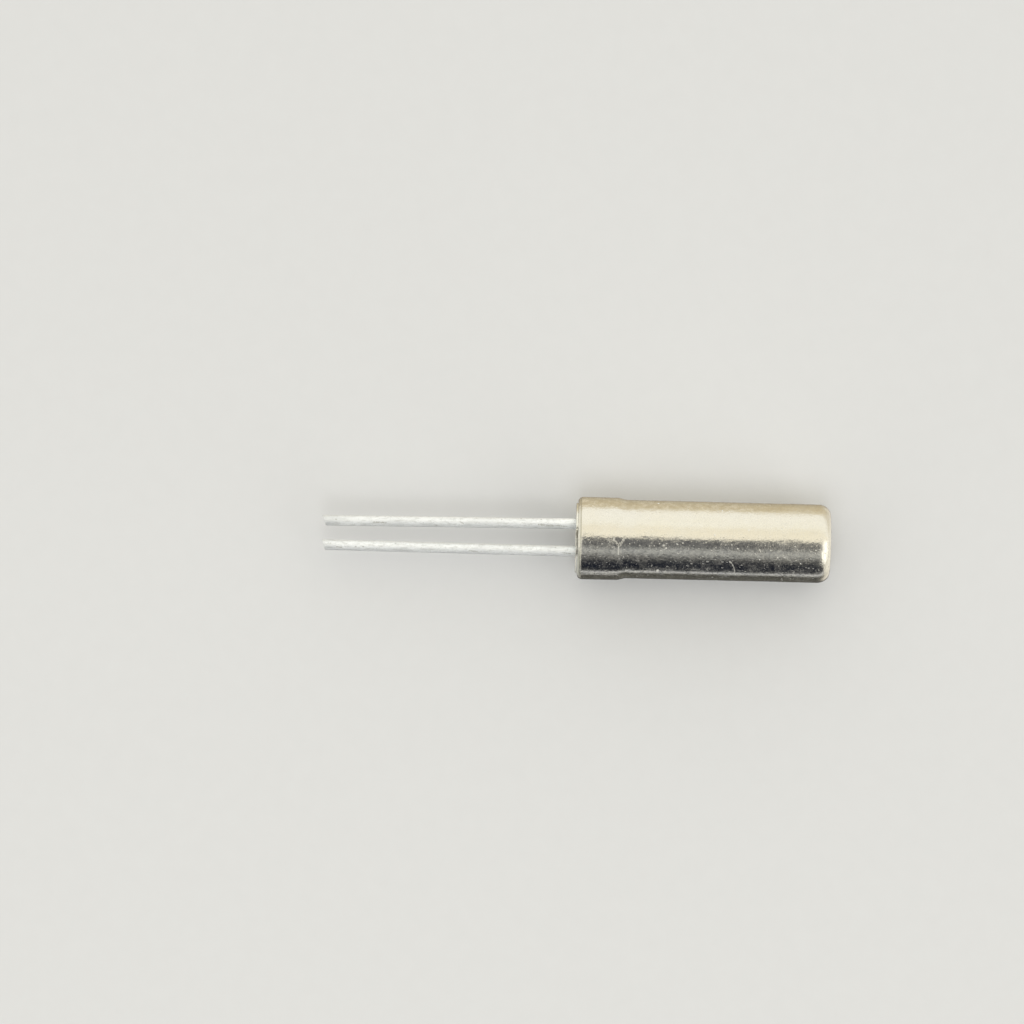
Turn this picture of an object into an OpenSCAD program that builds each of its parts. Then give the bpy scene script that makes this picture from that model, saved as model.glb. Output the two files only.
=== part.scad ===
// Tuning-fork quartz crystal in a cylindrical metal can with two wire leads.
// All lengths are in millimetres. The can's axis is X: the leads leave
// towards -X and the can's closed end faces +X. The origin is the centre of
// the header ring's outer face, which seats on the circuit board. Both leads
// lie in the XY plane, so the part lies on its side with +Z up.

/* [Can] */
// Outer diameter of the can's straight barrel
can_d = 1.88; // [1.86:0.01:1.90]
// Length from the header ring's outer face to the closed end
body_len = 6.10; // [5.90:0.05:6.30]
// Largest outer diameter of the mouth, swollen by the header pressed into it
mouth_d = 1.98; // [1.96:0.01:2.00]
// Where the swollen stretch ends, measured from the ring's outer face
mouth_end = 1.00; // [0.95:0.05:1.10]
// Length of the slope from the swollen mouth down to the barrel
mouth_slope = 0.22; // [0.10:0.02:0.24]
// Thickness of the can's wall
wall = 0.15; // [0.13:0.01:0.16]
// Outer corner radius at the closed end
end_r = 0.25; // [0.22:0.01:0.30]
// Outer radius of the turned-in lip at the mouth
lip_r = 0.12; // [0.08:0.01:0.12]

/* [Header] */
// How far the ring stands out of the can's lip
ring_proud = 0.045; // [0.03:0.005:0.06]
// Length of the ring, nearly all of it inside the can
ring_len = 0.95; // [0.85:0.05:0.95]
// Bore of the ring, which holds the glass
ring_bore = 1.12; // [1.08:0.02:1.20]
// Depth of the glass below the ring's outer face
glass_sunk = 0.05; // [0.03:0.01:0.08]

/* [Leads] */
// Diameter of the lead wire
lead_d = 0.25; // [0.20:0.01:0.26]
// Length of each lead outside the header
lead_len = 6.04; // [5.00:0.01:8.00]
// Distance between the two leads where they leave the glass
lead_pitch = 0.66; // [0.64:0.005:0.70]
// Shift of the lead pair to one side of the can's axis
lead_shift = 0.005; // [0.00:0.0025:0.015]
// Lean of lead a towards the axis at its tip, in degrees
lean_a = 0.57; // [0:0.01:0.60]
// Lean of lead b towards the axis at its tip, in degrees
lean_b = 0.14; // [0:0.01:0.60]
// Slant of the sheared tip of lead a, in degrees
shear_a = 18; // [0:1:25]
// Slant of the sheared tip of lead b, in degrees
shear_b = 14; // [0:1:25]

/* [Quartz fork] */
// Thickness of the quartz blank
fork_t = 0.13; // [0.10:0.01:0.15]
// Length of the two arms
arm_len = 2.40; // [2.20:0.05:2.50]
// Width of one arm, which sets the frequency together with its length
arm_w = 0.214; // [0.200:0.002:0.220]
// Gap between the arms
arm_gap = 0.20; // [0.18:0.01:0.20]
// Width of the base, where the leads are joined
base_w = 0.98; // [0.98:0.01:1.00]
// Length of the wide part of the base
base_len = 0.75; // [0.70:0.05:0.80]

/* [Hidden] */

can_r = can_d / 2;
mouth_r = mouth_d / 2;          // at its widest, next to the lip
taper = 0.005;                  // the ring and the mouth narrow inwards slightly
groove_r = 0.03;                // rounding that leaves a fine groove at the ring
function mouth_at(x) = mouth_r - taper * (x - ring_proud - lip_r);
function ring_at(x) = mouth_at(x) - wall; // the ring fills the mouth, metal to metal
ring_r = ring_at(0);
ring_edge = 0.025;              // rounding of the ring's outer edge
ring_lead_in = 0.06;            // chamfer that starts the ring into the can
glass_end = ring_len - 0.05;    // the glass stops short of the ring's inner end

lead_y_a = lead_shift + lead_pitch / 2;
lead_y_b = lead_pitch / 2 - lead_shift;  // used mirrored, on the -Y side

fork_x = 1.70;                  // rear edge of the quartz base
flat_x = fork_x - 0.05;         // where the lead's soldering flat starts
lead_in = fork_x + 0.45;        // inner end of each lead
neck_len = 0.10;
neck_w = 0.50;
front_len = 0.40;
front_x = fork_x + base_len + neck_len;
arm_x = front_x + front_len;    // root of the arms
arms_w = arm_gap + 2 * arm_w;

film_t = 0.005;                 // metal film on the quartz
pad_len = 0.50;
pad_y = 0.20;                   // inner edge of each soldering pad
strip_w = 0.11;                 // film along the middle of an arm
strip_y = arm_gap / 2 + (arm_w - strip_w) / 2;
strip_end = arm_x + 0.75 * arm_len;
band_x = strip_end + 0.05;      // film that crosses an arm near its end
band_len = 0.06;
trim_x = band_x + band_len + 0.06;
trim_len = arm_x + arm_len - 0.05 - trim_x;
trim_t = 0.008;
solder_r = 0.17;

$fn = 72;

// Turns a shape drawn along Z so that it lies along X.
module along_x() {
    rotate([0, 90, 0]) children();
}

// A box given by its two opposite corners.
module box(a, b) {
    translate(a) cube([b[0] - a[0], b[1] - a[1], b[2] - a[2]]);
}

// ---- Can: one drawn cup, closed at +X, its lip turned in at the mouth ----

module can_outside() {
    translate([0, ring_proud])
        square([mouth_r - lip_r, lip_r]);
    translate([mouth_r - lip_r, ring_proud + lip_r])
        circle(r = lip_r);
    polygon([[0, ring_proud + lip_r], [mouth_r, ring_proud + lip_r],
             [mouth_at(mouth_end), mouth_end],
             [can_r, mouth_end + mouth_slope], [0, mouth_end + mouth_slope]]);
    translate([0, mouth_end + mouth_slope])
        square([can_r, body_len - end_r - mouth_end - mouth_slope]);
    translate([0, body_len - end_r])
        square([can_r - end_r, end_r]);
    translate([can_r - end_r, body_len - end_r])
        circle(r = end_r);
}

module can_inside() {
    inner_r = can_r - wall;
    inner_end = body_len - wall;
    corner = end_r - wall;
    groove_x = ring_proud + groove_r;
    polygon([[0, ring_proud - 0.1], [ring_at(ring_proud - 0.1), ring_proud - 0.1],
             [ring_at(mouth_end), mouth_end],
             [inner_r, mouth_end + mouth_slope], [0, mouth_end + mouth_slope]]);
    // rounded inner edge of the lip
    difference() {
        translate([ring_at(groove_x) - 0.01, ring_proud - 0.1])
            square([groove_r + 0.01, groove_r + 0.1]);
        translate([ring_at(groove_x) + groove_r, groove_x])
            circle(r = groove_r);
    }
    translate([0, mouth_end + mouth_slope])
        square([inner_r, inner_end - corner - mouth_end - mouth_slope]);
    translate([0, inner_end - corner])
        square([inner_r - corner, corner]);
    translate([inner_r - corner, inner_end - corner])
        circle(r = corner);
}

module can() {
    color([0.80, 0.77, 0.68])
        along_x()
            rotate_extrude()
                difference() {
                    can_outside();
                    can_inside();
                }
}

// ---- Header: plated metal ring, glass, two leads ----

module header_ring() {
    color([0.83, 0.82, 0.76])
        along_x()
            rotate_extrude()
                difference() {
                    polygon([[ring_bore / 2, 0], [ring_at(0), 0],
                             [ring_at(ring_len - ring_lead_in), ring_len - ring_lead_in],
                             [ring_at(ring_len) - ring_lead_in, ring_len],
                             [ring_bore / 2, ring_len]]);
                    // rounded outer edge
                    difference() {
                        translate([ring_at(ring_edge) - ring_edge, -0.1])
                            square([ring_edge + 0.1, ring_edge + 0.1]);
                        translate([ring_at(ring_edge) - ring_edge, ring_edge])
                            circle(r = ring_edge);
                    }
                }
}

module glass_seal() {
    color([0.32, 0.38, 0.36])
        difference() {
            translate([glass_sunk, 0, 0])
                along_x() cylinder(d = ring_bore, h = glass_end - glass_sunk);
            wire_line(lead_y_a, lean_a)
                translate([-0.1, 0, 0])
                    along_x() cylinder(d = lead_d, h = glass_end + 0.3);
            mirror([0, 1, 0])
                wire_line(lead_y_b, lean_b)
                    translate([-0.1, 0, 0])
                        along_x() cylinder(d = lead_d, h = glass_end + 0.3);
        }
}

// The straight line of a lead at +Y: X runs along the wire, with 0 where it
// passes the ring's outer face.
module wire_line(y, lean) {
    translate([0, y, 0]) rotate([0, 0, lean]) children();
}

// One lead at +Y, a straight wire that leans in towards its tip. The tip is
// sheared at a slant. The inner end is flattened to half its thickness for
// the quartz base to lie on.
module lead(y, lean, shear) {
    wire_line(y, lean)
        difference() {
            translate([-lead_len - 0.2, 0, 0])
                along_x() cylinder(d = lead_d, h = lead_len + 0.2 + lead_in);
            box([flat_x, -lead_d, -film_t], [lead_in + 1, lead_d, lead_d]);
            translate([-lead_len, 0, 0])
                rotate([0, 0, shear - lean])
                    box([-2, -1, -1], [0, 1, 1]);
        }
}

module lead_a() {
    color([0.86, 0.87, 0.84])
        lead(lead_y_a, lean_a, shear_a);
}

module lead_b() {
    color([0.86, 0.87, 0.84])
        mirror([0, 1, 0]) lead(lead_y_b, lean_b, -shear_b);
}

// ---- Quartz fork, its metal films, and the two soldered joints ----

module quartz_fork() {
    color([0.88, 0.92, 0.94, 0.6])
        linear_extrude(height = fork_t)
            difference() {
                union() {
                    translate([fork_x, -base_w / 2]) square([base_len, base_w]);
                    translate([fork_x + base_len, -neck_w / 2]) square([neck_len, neck_w]);
                    translate([front_x, -arms_w / 2]) square([front_len + arm_len, arms_w]);
                }
                translate([arm_x, 0]) circle(d = arm_gap);
                translate([arm_x, -arm_gap / 2]) square([arm_len + 1, arm_gap]);
            }
}

// One electrode: a film on both broad faces of the arm at +Y, joined over the
// base to the film on both side walls of the arm at -Y.
module film() {
    top = fork_t;
    for (z = [top, -film_t]) {
        box([fork_x, pad_y, z], [fork_x + pad_len, base_w / 2, z + film_t]);
        box([fork_x + pad_len, 0.16, z], [arm_x, 0.24, z + film_t]);
        box([arm_x, strip_y, z], [strip_end, strip_y + strip_w, z + film_t]);
    }
    box([fork_x, base_w / 2, -film_t],
        [fork_x + pad_len, base_w / 2 + film_t, top + film_t]);
    // across the base to the other arm
    box([arm_x - 0.18, -0.14, top], [arm_x - 0.11, 0.16, top + film_t]);
    box([arm_x - 0.11, -0.14, top], [arm_x + 0.30, -arm_gap / 2, top + film_t]);
    box([arm_x + 0.10, -arm_gap / 2, top],
        [arm_x + 0.30, -arm_gap / 2 + film_t, top + film_t]);
    // inner and outer side walls of the other arm
    box([arm_x + 0.10, -arm_gap / 2, 0],
        [band_x + band_len, -arm_gap / 2 + film_t, top]);
    box([arm_x + 0.10, -arms_w / 2 - film_t, 0],
        [band_x + band_len, -arms_w / 2, top]);
    // over the arm near its end, joining the two walls
    box([band_x, -arms_w / 2 - film_t, top],
        [band_x + band_len, -arm_gap / 2 + film_t, top + film_t]);
}

// The second electrode is the first turned half a turn about the fork's axis.
module film_b() {
    translate([0, 0, fork_t / 2])
        rotate([180, 0, 0])
            translate([0, 0, -fork_t / 2]) film();
}

module electrode_a() {
    color([0.85, 0.70, 0.32]) film();
}

module electrode_b() {
    color([0.85, 0.70, 0.32]) film_b();
}

// Thick metal patches at the arm ends, trimmed to set the frequency.
module trim_weights() {
    color([0.82, 0.66, 0.28])
        for (y = [strip_y - 0.02, -strip_y - strip_w - 0.02])
            box([trim_x, y, fork_t], [trim_x + trim_len, y + strip_w + 0.04, fork_t + trim_t]);
}

// Solder at +Y: a collar around the lead that fills the step in front of the
// quartz base and laps over and under its metal pad.
module solder(y, lean) {
    difference() {
        wire_line(y, lean)
            difference() {
                along_x()
                    rotate_extrude()
                        polygon([[0, fork_x - 0.17], [lead_d / 2 + 0.012, fork_x - 0.17],
                                 [solder_r, fork_x - 0.10], [solder_r, fork_x + 0.10],
                                 [lead_d / 2 + 0.012, fork_x + 0.18], [0, fork_x + 0.18]]);
                difference() {
                    translate([fork_x - 1, 0, 0])
                        along_x() cylinder(d = lead_d, h = 2);
                    box([flat_x, -lead_d, -film_t], [fork_x + 2, lead_d, lead_d]);
                }
            }
        box([fork_x, 0, -film_t], [fork_x + 1, base_w / 2 + film_t, fork_t + film_t]);
    }
}

module solder_joint_a() {
    color([0.75, 0.76, 0.77])
        solder(lead_y_a, lean_a);
}

module solder_joint_b() {
    color([0.75, 0.76, 0.77])
        mirror([0, 1, 0]) solder(lead_y_b, lean_b);
}

can();
header_ring();
glass_seal();
lead_a();
lead_b();
quartz_fork();
electrode_a();
electrode_b();
trim_weights();
solder_joint_a();
solder_joint_b();
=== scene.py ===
import math

import bmesh
import bpy
import numpy as np
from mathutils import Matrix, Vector
from mathutils.geometry import delaunay_2d_cdt


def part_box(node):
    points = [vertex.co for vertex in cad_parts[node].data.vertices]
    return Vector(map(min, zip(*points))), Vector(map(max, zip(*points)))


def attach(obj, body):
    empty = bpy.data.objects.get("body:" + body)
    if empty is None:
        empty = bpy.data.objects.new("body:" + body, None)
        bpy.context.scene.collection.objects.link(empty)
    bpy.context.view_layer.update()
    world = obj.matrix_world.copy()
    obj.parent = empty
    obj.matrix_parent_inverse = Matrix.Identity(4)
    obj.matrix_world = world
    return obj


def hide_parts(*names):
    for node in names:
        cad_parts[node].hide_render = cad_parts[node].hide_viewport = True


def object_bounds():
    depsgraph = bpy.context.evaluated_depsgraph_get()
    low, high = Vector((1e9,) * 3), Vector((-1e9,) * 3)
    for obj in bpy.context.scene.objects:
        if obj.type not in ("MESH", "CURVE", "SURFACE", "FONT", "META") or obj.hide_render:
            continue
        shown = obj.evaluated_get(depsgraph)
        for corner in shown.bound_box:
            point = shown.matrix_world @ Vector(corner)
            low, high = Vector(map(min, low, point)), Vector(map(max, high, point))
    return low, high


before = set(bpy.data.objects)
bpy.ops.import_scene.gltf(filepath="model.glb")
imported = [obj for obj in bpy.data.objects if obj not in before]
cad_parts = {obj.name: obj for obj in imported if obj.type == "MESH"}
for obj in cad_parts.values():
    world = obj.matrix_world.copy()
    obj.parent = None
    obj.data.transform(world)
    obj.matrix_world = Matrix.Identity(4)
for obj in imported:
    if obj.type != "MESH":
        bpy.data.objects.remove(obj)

MM = 0.001
TAU = 2 * math.pi
CAD_BOX = [[float(c) for c in corner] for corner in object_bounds()]


# ---------------------------------------------------------------- sizes
# All in millimetres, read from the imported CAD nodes.
def box_mm(node):
    lo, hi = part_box(node)
    return np.array(lo) / MM, np.array(hi) / MM


def node_xyz(node):
    return np.array([v.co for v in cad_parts[node].data.vertices], float) / MM


can_lo, can_hi = box_mm("can")
can_v = node_xyz("can")
can_rad = np.hypot(can_v[:, 1], can_v[:, 2])
MOUTH_R = float(can_rad.max())                      # widest, next to the lip
BARREL_R = float(can_rad[can_v[:, 0] > 2.0].max())  # straight barrel
LIP_X = float(can_lo[0])                            # the lip's front
END_X = float(can_hi[0])                            # closed end
WALL, LIP_R, END_R, GROOVE_R, TAPER = 0.15, 0.12, 0.25, 0.03, 0.005
far = can_v[can_rad > BARREL_R + 0.02]
MOUTH_END = float(far[:, 0].max())                  # the swollen stretch ends here
SLOPE_END = MOUTH_END + 0.22
CORNER = 0.31                                       # length of the closed end's corner

ring_lo, ring_hi = box_mm("header_ring")
RING_LEN = float(ring_hi[0])
ring_v = node_xyz("header_ring")
RING_BORE = float(np.hypot(ring_v[:, 1], ring_v[:, 2]).min())
RING_EDGE = 0.025
GLASS_X0, GLASS_X1 = float(box_mm("glass_seal")[0][0]), float(box_mm("glass_seal")[1][0])

LEAD_R, LEAD_LEN, LEAD_IN, FLAT_X, FILM = 0.125, 6.04, 2.15, 1.65, 0.005
LEAD_A = dict(y=0.335, lean=math.radians(0.57), shear=math.radians(18.0), side=1)
LEAD_B = dict(y=0.325, lean=math.radians(0.14), shear=math.radians(-14.0), side=-1)


def mouth_at(x):
    return MOUTH_R - TAPER * (x - LIP_X - LIP_R)


def ring_at(x):
    return mouth_at(x) - WALL


# ---------------------------------------------------------------- mesh helpers
def make(name, verts, faces, smooth=True):
    """A mesh object from millimetre coordinates, with its faces turned outwards."""
    mesh = bpy.data.meshes.new(name)
    mesh.from_pydata([(float(x) * MM, float(y) * MM, float(z) * MM) for x, y, z in verts], [], faces)
    bm = bmesh.new()
    bm.from_mesh(mesh)
    bmesh.ops.scale(bm, vec=(1000.0,) * 3, verts=bm.verts)
    bmesh.ops.dissolve_degenerate(bm, dist=1e-6, edges=bm.edges)
    bmesh.ops.recalc_face_normals(bm, faces=bm.faces)
    bmesh.ops.scale(bm, vec=(0.001,) * 3, verts=bm.verts)
    bm.to_mesh(mesh)
    bm.free()
    if smooth:
        mesh.shade_smooth()
    mesh.update()
    obj = bpy.data.objects.new(name, mesh)
    bpy.context.scene.collection.objects.link(obj)
    return obj


def angles(seg):
    return np.arange(seg) * TAU / seg


def lathe(name, profile, seg, move=None):
    """Turns a closed profile of (x, r) points around X. A point with r = 0 is a pole."""
    th = angles(seg)
    verts, rings = [], []
    for x, r in profile:
        if r < 1e-9:
            rings.append([len(verts)] * seg)
            xx, rr = (move(np.array([x]), np.array([0.0]), np.array([0.0])) if move
                      else (np.array([x]), np.array([0.0])))
            verts.append((float(xx[0]), 0.0, 0.0))
            continue
        xs, rs = np.full(seg, float(x)), np.full(seg, float(r))
        if move:
            xs, rs = move(xs, rs, th)
        rings.append(list(range(len(verts), len(verts) + seg)))
        verts.extend(zip(xs, rs * np.cos(th), rs * np.sin(th)))
    faces = []
    n = len(rings)
    for i in range(n):
        a, b = rings[i], rings[(i + 1) % n]
        if a[0] == a[1] and b[0] == b[1]:
            continue
        for k in range(seg):
            j = (k + 1) % seg
            quad = [a[k], a[j], b[j], b[k]]
            face = [v for m, v in enumerate(quad) if v not in quad[:m]]
            faces.append(face)
    return make(name, verts, faces)


def arc(cx, cr, radius, a0, a1, n):
    """Points (x, r) on a circle from a0 to a1 degrees, where 0 points along +X and 90 outwards."""
    t = np.radians(np.linspace(a0, a1, n))
    return [(cx + radius * math.cos(a), cr + radius * math.sin(a)) for a in t]


def line(a, b, n, ends=True):
    """Points (x, r) along a straight line, packed closer near both ends."""
    t = np.linspace(0, 1, n)
    t = t if not ends else (1 - np.cos(t * math.pi)) / 2 * 0.5 + t * 0.5
    pts = [(a[0] + (b[0] - a[0]) * s, a[1] + (b[1] - a[1]) * s) for s in t]
    return pts[1:-1]


def smooth01(t):
    t = np.clip(t, 0.0, 1.0)
    return t * t * (3 - 2 * t)


def wave(seed, n, low, high):
    """A fixed sum of sines, as a function of (position, angle), of about unit size."""
    rng = np.random.RandomState(seed)
    f = rng.uniform(low, high, n)
    k = rng.randint(0, 5, n)
    p, q = rng.uniform(0, TAU, n), rng.uniform(0, TAU, n)
    w = rng.uniform(0.5, 1.0, n)
    w = w / math.sqrt((w * w).sum() / 2)

    def value(x, th):
        total = 0.0
        for i in range(n):
            total = total + w[i] * np.sin(TAU * f[i] * x + p[i]) * np.cos(k[i] * th + q[i])
        return total / 1.4
    return value


# ---------------------------------------------------------------- can
BARREL_WAVE = wave(7, 9, 0.12, 0.9)
MOUTH_WAVE = wave(11, 7, 0.8, 2.6)
FINE_WAVE = wave(19, 8, 3.0, 7.0)
DENTS = [  # x, angle from +Y in degrees, radius, depth
    (0.985, 93.5, 0.105, 0.0065),
    (4.62, 58.0, 0.16, 0.0016),
    (2.35, 148.0, 0.20, 0.0014),
    (3.10, 250.0, 0.22, 0.0020),
    (5.30, 320.0, 0.15, 0.0018),
    (1.75, 20.0, 0.24, 0.0014),
]


def shoulder(x, th):
    """Outer radius from the mouth to the barrel. The step is short at the sides and
    drawn out above and below, where the header's swelling runs further."""
    length = 0.24 + 0.38 * np.sin(th) ** 2
    s = smooth01((x - (MOUTH_END + SLOPE_END) / 2) / length + 0.5)
    return mouth_at(np.minimum(x, MOUTH_END)) * (1 - s) + BARREL_R * s


def can_move(x, r, th):
    outside = smooth01((r - (BARREL_R - WALL * 0.5)) / 0.02)
    r = np.where((outside > 0.5) & (x > 0.7) & (x < 1.7), shoulder(x, th), r)
    barrel = smooth01((x - MOUTH_END - 0.10) / 0.2) * smooth01((END_X - CORNER - x) / 0.25)
    mouth = smooth01((x - LIP_X - 0.14) / 0.05) * smooth01((MOUTH_END + 0.03 - x) / 0.1)
    dr = outside * (barrel * 0.0011 * BARREL_WAVE(x, th)
                    + mouth * 0.0006 * MOUTH_WAVE(x, th)
                    + (barrel + mouth) * 0.00012 * FINE_WAVE(x, th))
    for dx, da, radius, depth in DENTS:
        turn = (th - math.radians(da) + math.pi) % TAU - math.pi
        d2 = (x - dx) ** 2 + (turn * r) ** 2
        dr = dr - outside * depth * np.exp(-d2 / (radius * 0.6) ** 2)
    # keep within the true radius
    return x, r + np.minimum(dr, 0.0012)


groove_x = LIP_X + GROOVE_R
g_r = ring_at(groove_x) + GROOVE_R
outer = []
outer += arc(groove_x, g_r, GROOVE_R, 270, 180, 9)                    # inner edge of the lip
outer += arc(LIP_X + LIP_R, MOUTH_R - LIP_R, LIP_R, 179, 90, 46)      # lip
SEAM_X = LIP_X + LIP_R - 0.052
outer += [(x, mouth_at(x)) for x in (0.172, 0.185)]
outer += [(x, mouth_at(x)) for x in np.concatenate([
    np.linspace(0.21, 0.78, 20)[:-1]])]
outer += [(x, BARREL_R) for x in np.linspace(0.78, 1.46, 44)]         # shoulder
outer += [(x, BARREL_R) for x in np.linspace(1.50, END_X - CORNER - 0.02, 62)]
outer += [(END_X - CORNER * (1 - math.sin(a)), BARREL_R - END_R * (1 - math.cos(a)))
          for a in np.radians(np.linspace(0, 90, 34))]                # closed end's corner
outer += [(END_X - 0.006 * float(smooth01(np.array(1 - r / 0.60))), r)
          for r in (0.66, 0.61, 0.55, 0.48, 0.40, 0.31, 0.22, 0.13, 0.06)]
outer += [(END_X - 0.006, 0.0)]
inner_r, inner_x = BARREL_R - WALL, END_X - WALL
inner = [(inner_x, 0.0), (inner_x, 0.3), (inner_x, 0.6)]
inner += arc(inner_x - 0.10, inner_r - 0.10, 0.10, 0, 90, 9)
inner += line((inner_x - 0.10, inner_r), (SLOPE_END, inner_r), 14)
for t in np.linspace(1, 0, 7):
    x = MOUTH_END + t * (SLOPE_END - MOUTH_END)
    s = float(smooth01(np.array(t)))
    inner.append((x, ring_at(MOUTH_END) * (1 - s) + inner_r * s))
inner += [(0.9, ring_at(0.9)), (0.6, ring_at(0.6)), (0.3, ring_at(0.3)), (0.12, ring_at(0.12))]


def seam_groove(x, r, th):
    x, r = can_move(x, r, th)
    cut = (r > BARREL_R) * 0.0042 * np.exp(-((x - SEAM_X) / 0.0070) ** 2)
    return x, r - cut


can = lathe("metal_can", outer + inner, 264, seam_groove)

# ---------------------------------------------------------------- header ring
ring = []
ring += arc(RING_EDGE, ring_at(RING_EDGE) - RING_EDGE, RING_EDGE, 180, 92, 9)
outer_wall = [(0.04, ring_at(0.04) - 0.002), (0.3, ring_at(0.3) - 0.002), (0.6, ring_at(0.6) - 0.002),
              (RING_LEN - 0.06, ring_at(RING_LEN - 0.06) - 0.002)]
ring += outer_wall
ring += [(RING_LEN, ring_at(RING_LEN) - 0.06), (RING_LEN, RING_BORE + 0.02)]
ring += [(RING_LEN - 0.02, RING_BORE), (0.5, RING_BORE), (0.2, RING_BORE), (0.06, RING_BORE)]
ring += arc(0.014, RING_BORE + 0.014, 0.014, 270, 180, 6)
face_r = np.linspace(RING_BORE + 0.020, ring_at(0) - RING_EDGE - 0.004, 26)
ring_face = [(0.0008 + 0.0008 * math.sin(r * 390) * math.sin(r * 83 + 1.0), float(r)) for r in face_r]
header_ring = lathe("plated_ring", ring + ring_face, 264,
                    lambda x, r, th: (np.maximum(x + 0.0005 * np.sin(3 * th + r * 40) * (x < 0.01), 0.0), r))


# ---------------------------------------------------------------- glass seal
def lead_y(spec, x):
    """The lead's axis at x, in world Y."""
    return spec["side"] * (spec["y"] + x * math.tan(spec["lean"]))


def glass(name):
    pts, loops = [], []
    r_ring = RING_BORE
    n_out, n_hole = 96, 48
    first = len(pts)
    pts += [(r_ring * math.cos(a), r_ring * math.sin(a)) for a in angles(n_out)]
    loops.append(list(range(first, first + n_out)))
    holes = []
    for spec in (LEAD_A, LEAD_B):
        first = len(pts)
        cy = lead_y(spec, GLASS_X0)
        pts += [(cy + LEAD_R * math.cos(a), LEAD_R * math.sin(a)) for a in angles(n_hole)]
        loops.append(list(range(first, first + n_hole)))
        holes.append(cy)
    for rr in (0.545, 0.52, 0.49, 0.45, 0.40, 0.33, 0.25, 0.17, 0.08):
        n = max(8, int(rr * 90))
        for a in angles(n) + rr:
            y, z = rr * math.cos(a), rr * math.sin(a)
            if min(math.hypot(y - h, z) for h in holes) > LEAD_R + 0.075:
                pts.append((y, z))
    for h in holes:
        for rr, n in ((0.132, 44), (0.15, 40), (0.175, 34)):
            for a in angles(n) + rr * 3:
                y, z = h + rr * math.cos(a), rr * math.sin(a)
                other = [g for g in holes if g != h][0]
                if math.hypot(y, z) < r_ring - 0.012 and math.hypot(y - other, z) > math.hypot(y - h, z):
                    pts.append((y, z))
    edges = [(l[i], l[(i + 1) % len(l)]) for l in loops for i in range(len(l))]
    out_v, _, out_f, *_ = delaunay_2d_cdt([Vector(p) for p in pts], edges, [], 1, 1e-7)
    keep = []
    for f in out_f:
        c = sum((out_v[i] for i in f), Vector((0, 0))) / len(f)
        if min((c - Vector((h, 0))).length for h in holes) > LEAD_R * 0.998 and c.length < r_ring:
            keep.append(list(f))
    flat = np.array([(v[0], v[1]) for v in out_v])
    rad = np.hypot(flat[:, 0], flat[:, 1])
    rise = np.zeros(len(flat))
    for h in holes:
        d = np.hypot(flat[:, 0] - h, flat[:, 1]) - LEAD_R
        rise += 0.028 * np.exp(-np.maximum(d, 0) / 0.022)
    rise += 0.020 * np.exp(-np.maximum(r_ring - rad, 0) / 0.025)
    rise += 0.003 * np.sin(flat[:, 0] * 9 + 0.6) * np.cos(flat[:, 1] * 8)
    front = [(GLASS_X0 - min(a, 0.042), y, z) for a, (y, z) in zip(rise, flat)]
    back = []
    for y, z in flat:
        shift = 0.0
        for spec, h in zip((LEAD_A, LEAD_B), holes):
            d = math.hypot(y - h, z) - LEAD_R
            shift += (lead_y(spec, GLASS_X1) - h) * math.exp(-max(d, 0) / 0.04)
        back.append((GLASS_X1, y + shift * (1 if math.hypot(y, z) < r_ring - 1e-6 else 0), z))
    n = len(flat)
    verts = front + back
    faces = keep + [[i + n for i in reversed(f)] for f in keep]
    count = {}
    for f in keep:
        for i in range(len(f)):
            e = (f[i], f[(i + 1) % len(f)])
            count[tuple(sorted(e))] = count.get(tuple(sorted(e)), []) + [e]
    for e in count.values():
        if len(e) == 1:
            a, b = e[0]
            faces.append([b, a, a + n, b + n])
    obj = make(name, verts, faces)
    return obj


glass_seal = glass("sealing_glass")


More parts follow.
